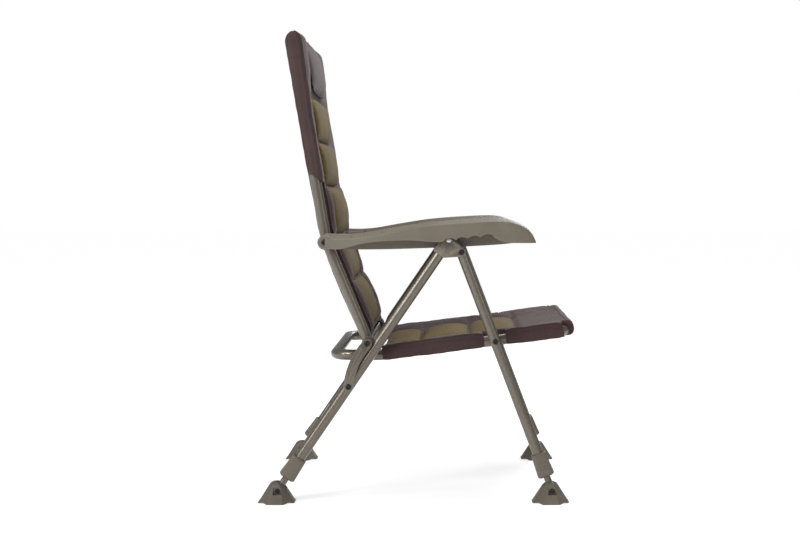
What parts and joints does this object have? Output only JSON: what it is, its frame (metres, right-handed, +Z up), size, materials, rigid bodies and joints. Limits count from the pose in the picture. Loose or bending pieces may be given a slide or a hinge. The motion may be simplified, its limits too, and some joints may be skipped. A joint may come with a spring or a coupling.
{
  "type": "folding reclining fishing chair",
  "caption": "Folding reclining fishing chair: crossed tube legs with mud feet, quilted seat and high back with head pillow, notched armrests.",
  "frame": {"origin": "middle of the footprint on the floor", "axes": "+X the way a sitter faces, +Y the sitter's left, +Z up"},
  "size_m": [0.7298, 0.664, 1.0864],
  "materials": {
    "satin_paint": "satin olive-grey paint on steel tube",
    "moulded_shell": "fine satin moulding",
    "black_steel": "black oxide",
    "zinc_plated_steel": "zinc plated",
    "black_plastic": "fine matt",
    "quilted_fabric": "coated polyester, dark plum with olive pillows",
    "pillow_fabric": "coated polyester, grey plum"
  },
  "bodies": {
    "rear_legs": {"apex_bracket_left": "satin_paint", "apex_bracket_right": "satin_paint", "catch_pin_left": "zinc_plated_steel", "catch_pin_right": "zinc_plated_steel", "link_leg_bolt_left": "black_steel", "link_leg_bolt_right": "black_steel", "rear_collar_left": "moulded_shell", "rear_collar_right": "moulded_shell", "rear_cross_bar": "satin_paint", "rear_leg_left": "satin_paint", "rear_leg_right": "satin_paint"},
    "front_legs": {"apex_bolt_left": "black_steel", "apex_bolt_right": "black_steel", "front_collar_left": "moulded_shell", "front_collar_right": "moulded_shell", "front_cross_bar": "satin_paint", "front_leg_left": "satin_paint", "front_leg_right": "satin_paint"},
    "arm_bolt_left": {"armrest_bolt_left": "black_steel"},
    "arm_bolt_right": {"armrest_bolt_right": "black_steel"},
    "arm_bush_left": {"armrest_bush_left": "black_steel"},
    "arm_bush_right": {"armrest_bush_right": "black_steel"},
    "armrest_left": {"armrest_left": "moulded_shell"},
    "armrest_right": {"armrest_right": "moulded_shell"},
    "back_hinge": {"back_hinge_rod": "black_steel"},
    "backrest": {"backrest_cover": "quilted_fabric", "backrest_frame": "satin_paint", "head_pillow": "pillow_fabric"},
    "fold_links": {"fold_link_left": "satin_paint", "fold_link_right": "satin_paint", "link_seat_stud_left": "black_steel", "link_seat_stud_right": "black_steel"},
    "front_lever_left": {"front_collar_lever_left": "black_plastic"},
    "front_lever_right": {"front_collar_lever_right": "black_plastic"},
    "front_extension_left": {"front_foot_bolt_left": "black_steel", "front_leg_extension_left": "satin_paint"},
    "front_extension_right": {"front_foot_bolt_right": "black_steel", "front_leg_extension_right": "satin_paint"},
    "front_foot_left": {"front_mud_foot_left": "moulded_shell"},
    "front_foot_right": {"front_mud_foot_right": "moulded_shell"},
    "rear_lever_left": {"rear_collar_lever_left": "black_plastic"},
    "rear_lever_right": {"rear_collar_lever_right": "black_plastic"},
    "rear_extension_left": {"rear_foot_bolt_left": "black_steel", "rear_leg_extension_left": "satin_paint"},
    "rear_extension_right": {"rear_foot_bolt_right": "black_steel", "rear_leg_extension_right": "satin_paint"},
    "rear_foot_left": {"rear_mud_foot_left": "moulded_shell"},
    "rear_foot_right": {"rear_mud_foot_right": "moulded_shell"},
    "seat": {"seat_cover": "quilted_fabric", "seat_frame": "satin_paint", "seat_hinge_lug_left": "satin_paint", "seat_hinge_lug_right": "satin_paint", "seat_pivot_bolt_left": "black_steel", "seat_pivot_bolt_right": "black_steel", "seat_pivot_spacer_left": "black_plastic", "seat_pivot_spacer_right": "black_plastic"}
  },
  "joints": [
    {"name": "fold", "type": "hinge", "parent": "rear_legs", "child": "front_legs", "pos_m": [0.10142, 0, 0.57347], "axis": [0, 1, 0], "range_deg": [0, 52]},
    {"name": "seat_fold", "type": "hinge", "parent": "front_legs", "child": "seat", "pos_m": [0.17933, 0, 0.36837], "axis": [0, -1, 0], "range_deg": [0, 85.01]},
    {"name": "link_fold", "type": "hinge", "parent": "rear_legs", "child": "fold_links", "pos_m": [-0.15778, 0, 0.26483], "axis": [0, -1, 0], "range_deg": [0, 135.31]},
    {"name": "backrest_fold", "type": "hinge", "parent": "seat", "child": "back_hinge", "pos_m": [-0.11467, 0, 0.36437], "axis": [0, 1, 0], "range_deg": [0, 80.01]},
    {"name": "recline", "type": "hinge", "parent": "back_hinge", "child": "backrest", "pos_m": [-0.11467, 0, 0.36437], "axis": [0, 1, 0], "range_deg": [-32, 0]},
    {"name": "arm_level_left", "type": "hinge", "parent": "backrest", "child": "arm_bush_left", "pos_m": [-0.21194, 0.29, 0.59576], "axis": [0, -1, 0], "range_deg": [-21.71, 0]},
    {"name": "arm_fold_left", "type": "hinge", "parent": "arm_bush_left", "child": "arm_bolt_left", "pos_m": [-0.21194, 0.29, 0.59576], "axis": [0, -1, 0], "range_deg": [0, 105.01]},
    {"name": "arm_lift_left", "type": "hinge", "parent": "arm_bolt_left", "child": "armrest_left", "pos_m": [-0.21194, 0.29, 0.59576], "axis": [0, 1, 0], "range_deg": [-25, 0]},
    {"name": "arm_level_right", "type": "hinge", "parent": "backrest", "child": "arm_bush_right", "pos_m": [-0.21194, -0.29, 0.59576], "axis": [0, -1, 0], "range_deg": [-21.71, 0]},
    {"name": "arm_fold_right", "type": "hinge", "parent": "arm_bush_right", "child": "arm_bolt_right", "pos_m": [-0.21194, -0.29, 0.59576], "axis": [0, -1, 0], "range_deg": [0, 105.01]},
    {"name": "arm_lift_right", "type": "hinge", "parent": "arm_bolt_right", "child": "armrest_right", "pos_m": [-0.21194, -0.29, 0.59576], "axis": [0, 1, 0], "range_deg": [-25, 0]},
    {"name": "front_leg_length_left", "type": "slide", "parent": "front_legs", "child": "front_extension_left", "axis": [-0.3551, 0, 0.9348], "range_m": [-0.1, 0]},
    {"name": "front_foot_swivel_left", "type": "hinge", "parent": "front_extension_left", "child": "front_foot_left", "pos_m": [0.30862, 0.29, 0.028], "axis": [0, -1, 0], "range_deg": [-20, 20]},
    {"name": "front_lever_press_left", "type": "hinge", "parent": "front_legs", "child": "front_lever_left", "pos_m": [0.2866, 0.2735, 0.08596], "axis": [0.9348, 0, 0.3551], "range_deg": [0, 6], "stiffness_Nm_per_rad": 0.05},
    {"name": "front_leg_length_right", "type": "slide", "parent": "front_legs", "child": "front_extension_right", "axis": [-0.3551, 0, 0.9348], "range_m": [-0.1, 0]},
    {"name": "front_foot_swivel_right", "type": "hinge", "parent": "front_extension_right", "child": "front_foot_right", "pos_m": [0.30862, -0.29, 0.028], "axis": [0, -1, 0], "range_deg": [-20, 20]},
    {"name": "front_lever_press_right", "type": "hinge", "parent": "front_legs", "child": "front_lever_right", "pos_m": [0.2866, -0.2735, 0.08596], "axis": [-0.9348, 0, -0.3551], "range_deg": [0, 6], "stiffness_Nm_per_rad": 0.05},
    {"name": "rear_leg_length_left", "type": "slide", "parent": "rear_legs", "child": "rear_extension_left", "axis": [0.565, 0, 0.8251], "range_m": [-0.1, 0]},
    {"name": "rear_foot_swivel_left", "type": "hinge", "parent": "rear_extension_left", "child": "rear_foot_left", "pos_m": [-0.31995, 0.29, 0.028], "axis": [0, -1, 0], "range_deg": [-20, 20]},
    {"name": "rear_lever_press_left", "type": "hinge", "parent": "rear_legs", "child": "rear_lever_left", "pos_m": [-0.28492, 0.2735, 0.07916], "axis": [0.8251, 0, -0.565], "range_deg": [0, 6], "stiffness_Nm_per_rad": 0.05},
    {"name": "rear_leg_length_right", "type": "slide", "parent": "rear_legs", "child": "rear_extension_right", "axis": [0.565, 0, 0.8251], "range_m": [-0.1, 0]},
    {"name": "rear_foot_swivel_right", "type": "hinge", "parent": "rear_extension_right", "child": "rear_foot_right", "pos_m": [-0.31995, -0.29, 0.028], "axis": [0, -1, 0], "range_deg": [-20, 20]},
    {"name": "rear_lever_press_right", "type": "hinge", "parent": "rear_legs", "child": "rear_lever_right", "pos_m": [-0.28492, -0.2735, 0.07916], "axis": [-0.8251, 0, 0.565], "range_deg": [0, 6], "stiffness_Nm_per_rad": 0.05}
  ],
  "couplings": [
    {"joint": "seat_fold", "follows": "fold", "ratio": 1.6346},
    {"joint": "link_fold", "follows": "fold", "ratio": 2.6019},
    {"joint": "backrest_fold", "follows": "fold", "ratio": 1.5385},
    {"joint": "arm_level_left", "follows": "recline", "ratio": 0.67812},
    {"joint": "arm_fold_left", "follows": "fold", "ratio": 2.0192},
    {"joint": "arm_level_right", "follows": "recline", "ratio": 0.67812},
    {"joint": "arm_fold_right", "follows": "fold", "ratio": 2.0192}
  ]
}
